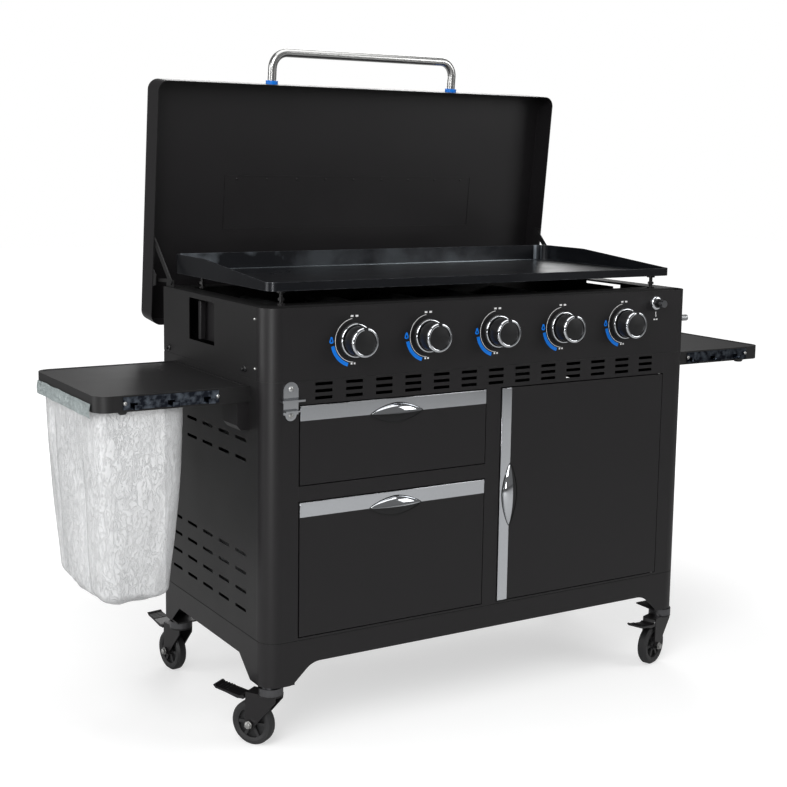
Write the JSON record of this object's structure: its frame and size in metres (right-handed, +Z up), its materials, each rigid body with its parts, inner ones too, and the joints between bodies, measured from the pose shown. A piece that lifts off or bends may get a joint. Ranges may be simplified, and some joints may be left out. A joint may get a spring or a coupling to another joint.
{
  "type": "flat top griddle",
  "caption": "Outdoor gas flat top griddle on a wheeled cabinet: hinged lid, steel cooking plate, turning knobs, drawers, door, side shelves and a trash bag.",
  "frame": {"origin": "on the floor under the middle of the whole object at rest, lid open", "axes": "+X to the right of a cook who faces the griddle, +Y to the back, +Z up"},
  "size_m": [1.6732, 0.6832, 1.3967],
  "materials": {
    "black_powder_coat": "satin",
    "seasoned_steel": "satin",
    "chrome": "polished",
    "stainless": "brushed",
    "zinc": "satin",
    "blue_anodised": "satin",
    "black_plastic": "satin",
    "aluminised_steel": "matt",
    "brass_pipe": "matt",
    "wheel_rubber": "satin",
    "clear_film": "glossy, translucent"
  },
  "bodies": {
    "base": {"plate_feet": "zinc", "griddle_plate": "seasoned_steel", "firebox": "black_powder_coat", "control_panel": "black_powder_coat", "burners": "aluminised_steel", "gas_manifold": "brass_pipe", "panel_bezels": "black_powder_coat", "lid_hinge_brackets": "black_powder_coat", "front_posts": "black_powder_coat", "side_panel_left": "black_powder_coat", "side_panel_right": "black_powder_coat", "back_panel": "black_powder_coat", "front_frame": "black_powder_coat", "base_skirt": "black_powder_coat", "cabinet_floor": "black_powder_coat", "drawer_slides": "aluminised_steel", "door_hinge_pins": "zinc", "shelf_left": "black_powder_coat", "shelf_right": "black_powder_coat", "shelf_brackets": "black_powder_coat", "hook_rails": "chrome", "bottle_opener": "chrome", "trash_bag": "clear_film", "caster_plates": "black_powder_coat"},
    "lid_long_links": {"lid_long_links": "black_powder_coat"},
    "lid": {"lid_shell": "black_powder_coat", "lid_handle": "stainless", "handle_collars": "blue_anodised", "lid_pivot_brackets": "black_powder_coat"},
    "lid_short_links": {"lid_short_links": "black_powder_coat"},
    "drawer_upper": {"drawer_upper": "black_powder_coat", "drawer_upper_pull": "chrome"},
    "drawer_lower": {"drawer_lower": "black_powder_coat", "drawer_lower_pull": "chrome"},
    "door": {"door": "black_powder_coat", "door_pull": "chrome"},
    "igniter_button": {"igniter_button": "chrome"},
    "valve_stem_1": {"valve_stem_1": "brass_pipe"},
    "knob_1": {"knob_1": "black_plastic"},
    "valve_stem_2": {"valve_stem_2": "brass_pipe"},
    "knob_2": {"knob_2": "black_plastic"},
    "valve_stem_3": {"valve_stem_3": "brass_pipe"},
    "knob_3": {"knob_3": "black_plastic"},
    "valve_stem_4": {"valve_stem_4": "brass_pipe"},
    "knob_4": {"knob_4": "black_plastic"},
    "valve_stem_5": {"valve_stem_5": "brass_pipe"},
    "knob_5": {"knob_5": "black_plastic"},
    "caster_fork_1": {"caster_fork_1": "black_powder_coat"},
    "caster_wheel_1": {"caster_wheel_1": "wheel_rubber"},
    "caster_brake_1": {"caster_brake_1": "black_powder_coat"},
    "caster_fork_2": {"caster_fork_2": "black_powder_coat"},
    "caster_wheel_2": {"caster_wheel_2": "wheel_rubber"},
    "caster_brake_2": {"caster_brake_2": "black_powder_coat"},
    "caster_fork_3": {"caster_fork_3": "black_powder_coat"},
    "caster_wheel_3": {"caster_wheel_3": "wheel_rubber"},
    "caster_brake_3": {"caster_brake_3": "black_powder_coat"},
    "caster_fork_4": {"caster_fork_4": "black_powder_coat"},
    "caster_wheel_4": {"caster_wheel_4": "wheel_rubber"},
    "caster_brake_4": {"caster_brake_4": "black_powder_coat"}
  },
  "joints": [
    {"name": "lid_swing", "type": "hinge", "parent": "base", "child": "lid_long_links", "pos_m": [0, 0.17791, 0.882], "axis": [1, 0, 0], "range_deg": [0, 131]},
    {"name": "lid_turn", "type": "hinge", "parent": "lid_long_links", "child": "lid", "pos_m": [0, 0.26959, 0.96724], "axis": [1, 0, 0], "range_deg": [-47.4, 0]},
    {"name": "lid_short_link_swing", "type": "hinge", "parent": "base", "child": "lid_short_links", "pos_m": [0, 0.19841, 0.884], "axis": [1, 0, 0], "range_deg": [0, 192.8]},
    {"name": "drawer_upper_slide", "type": "slide", "parent": "base", "child": "drawer_upper", "axis": [0, -1, 0], "range_m": [0, 0.3]},
    {"name": "drawer_lower_slide", "type": "slide", "parent": "base", "child": "drawer_lower", "axis": [0, -1, 0], "range_m": [0, 0.3]},
    {"name": "door_swing", "type": "hinge", "parent": "base", "child": "door", "pos_m": [0.4516, -0.29259, 0.45], "axis": [0, 0, 1], "range_deg": [0, 110]},
    {"name": "knob_1_turn", "type": "hinge", "parent": "base", "child": "valve_stem_1", "pos_m": [-0.3396, -0.29659, 0.803], "axis": [0, -1, 0], "range_deg": [0, 190]},
    {"name": "knob_1_push", "type": "slide", "parent": "valve_stem_1", "child": "knob_1", "axis": [0, 1, 0], "range_m": [0, 0.003], "stiffness_N_per_m": 1500},
    {"name": "knob_2_turn", "type": "hinge", "parent": "base", "child": "valve_stem_2", "pos_m": [-0.1698, -0.29659, 0.803], "axis": [0, -1, 0], "range_deg": [0, 190]},
    {"name": "knob_2_push", "type": "slide", "parent": "valve_stem_2", "child": "knob_2", "axis": [0, 1, 0], "range_m": [0, 0.003], "stiffness_N_per_m": 1500},
    {"name": "knob_3_turn", "type": "hinge", "parent": "base", "child": "valve_stem_3", "pos_m": [0, -0.29659, 0.803], "axis": [0, -1, 0], "range_deg": [0, 190]},
    {"name": "knob_3_push", "type": "slide", "parent": "valve_stem_3", "child": "knob_3", "axis": [0, 1, 0], "range_m": [0, 0.003], "stiffness_N_per_m": 1500},
    {"name": "knob_4_turn", "type": "hinge", "parent": "base", "child": "valve_stem_4", "pos_m": [0.1698, -0.29659, 0.803], "axis": [0, -1, 0], "range_deg": [0, 190]},
    {"name": "knob_4_push", "type": "slide", "parent": "valve_stem_4", "child": "knob_4", "axis": [0, 1, 0], "range_m": [0, 0.003], "stiffness_N_per_m": 1500},
    {"name": "knob_5_turn", "type": "hinge", "parent": "base", "child": "valve_stem_5", "pos_m": [0.3396, -0.29659, 0.803], "axis": [0, -1, 0], "range_deg": [0, 190]},
    {"name": "knob_5_push", "type": "slide", "parent": "valve_stem_5", "child": "knob_5", "axis": [0, 1, 0], "range_m": [0, 0.003], "stiffness_N_per_m": 1500},
    {"name": "igniter_push", "type": "slide", "parent": "base", "child": "igniter_button", "axis": [0, 1, 0], "range_m": [0, 0.005], "stiffness_N_per_m": 1200},
    {"name": "caster_1_swivel", "type": "hinge", "parent": "base", "child": "caster_fork_1", "pos_m": [-0.505, -0.26959, 0.11], "axis": [0, 0, 1], "continuous": true},
    {"name": "caster_1_roll", "type": "hinge", "parent": "caster_fork_1", "child": "caster_wheel_1", "pos_m": [-0.52625, -0.23809, 0.045], "axis": [-0.829, -0.5592, 0], "continuous": true},
    {"name": "caster_1_brake", "type": "hinge", "parent": "caster_fork_1", "child": "caster_brake_1", "pos_m": [-0.5352, -0.22482, 0.098], "axis": [-0.829, -0.5592, 0], "range_deg": [0, 10]},
    {"name": "caster_2_swivel", "type": "hinge", "parent": "base", "child": "caster_fork_2", "pos_m": [0.505, -0.26959, 0.11], "axis": [0, 0, 1], "continuous": true},
    {"name": "caster_2_roll", "type": "hinge", "parent": "caster_fork_2", "child": "caster_wheel_2", "pos_m": [0.46929, -0.28259, 0.045], "axis": [0.342, -0.9397, 0], "continuous": true},
    {"name": "caster_2_brake", "type": "hinge", "parent": "caster_fork_2", "child": "caster_brake_2", "pos_m": [0.45426, -0.28806, 0.098], "axis": [0.342, -0.9397, 0], "range_deg": [0, 10]},
    {"name": "caster_3_swivel", "type": "hinge", "parent": "base", "child": "caster_fork_3", "pos_m": [-0.505, 0.18141, 0.11], "axis": [0, 0, 1], "continuous": true},
    {"name": "caster_3_roll", "type": "hinge", "parent": "caster_fork_3", "child": "caster_wheel_3", "pos_m": [-0.51029, 0.21904, 0.045], "axis": [-0.9903, -0.1392, 0], "continuous": true},
    {"name": "caster_3_brake", "type": "hinge", "parent": "caster_fork_3", "child": "caster_brake_3", "pos_m": [-0.51252, 0.23488, 0.098], "axis": [-0.9903, -0.1392, 0], "range_deg": [0, 10]},
    {"name": "caster_4_swivel", "type": "hinge", "parent": "base", "child": "caster_fork_4", "pos_m": [0.505, 0.18141, 0.11], "axis": [0, 0, 1], "continuous": true},
    {"name": "caster_4_roll", "type": "hinge", "parent": "caster_fork_4", "child": "caster_wheel_4", "pos_m": [0.53411, 0.20583, 0.045], "axis": [-0.6428, 0.766, 0], "continuous": true},
    {"name": "caster_4_brake", "type": "hinge", "parent": "caster_fork_4", "child": "caster_brake_4", "pos_m": [0.54637, 0.21612, 0.098], "axis": [-0.6428, 0.766, 0], "range_deg": [0, 10]}
  ],
  "couplings": [
    {"joint": "lid_turn", "follows": "lid_swing", "ratio": -0.358},
    {"joint": "lid_short_link_swing", "follows": "lid_swing", "ratio": 1.4683}
  ]
}
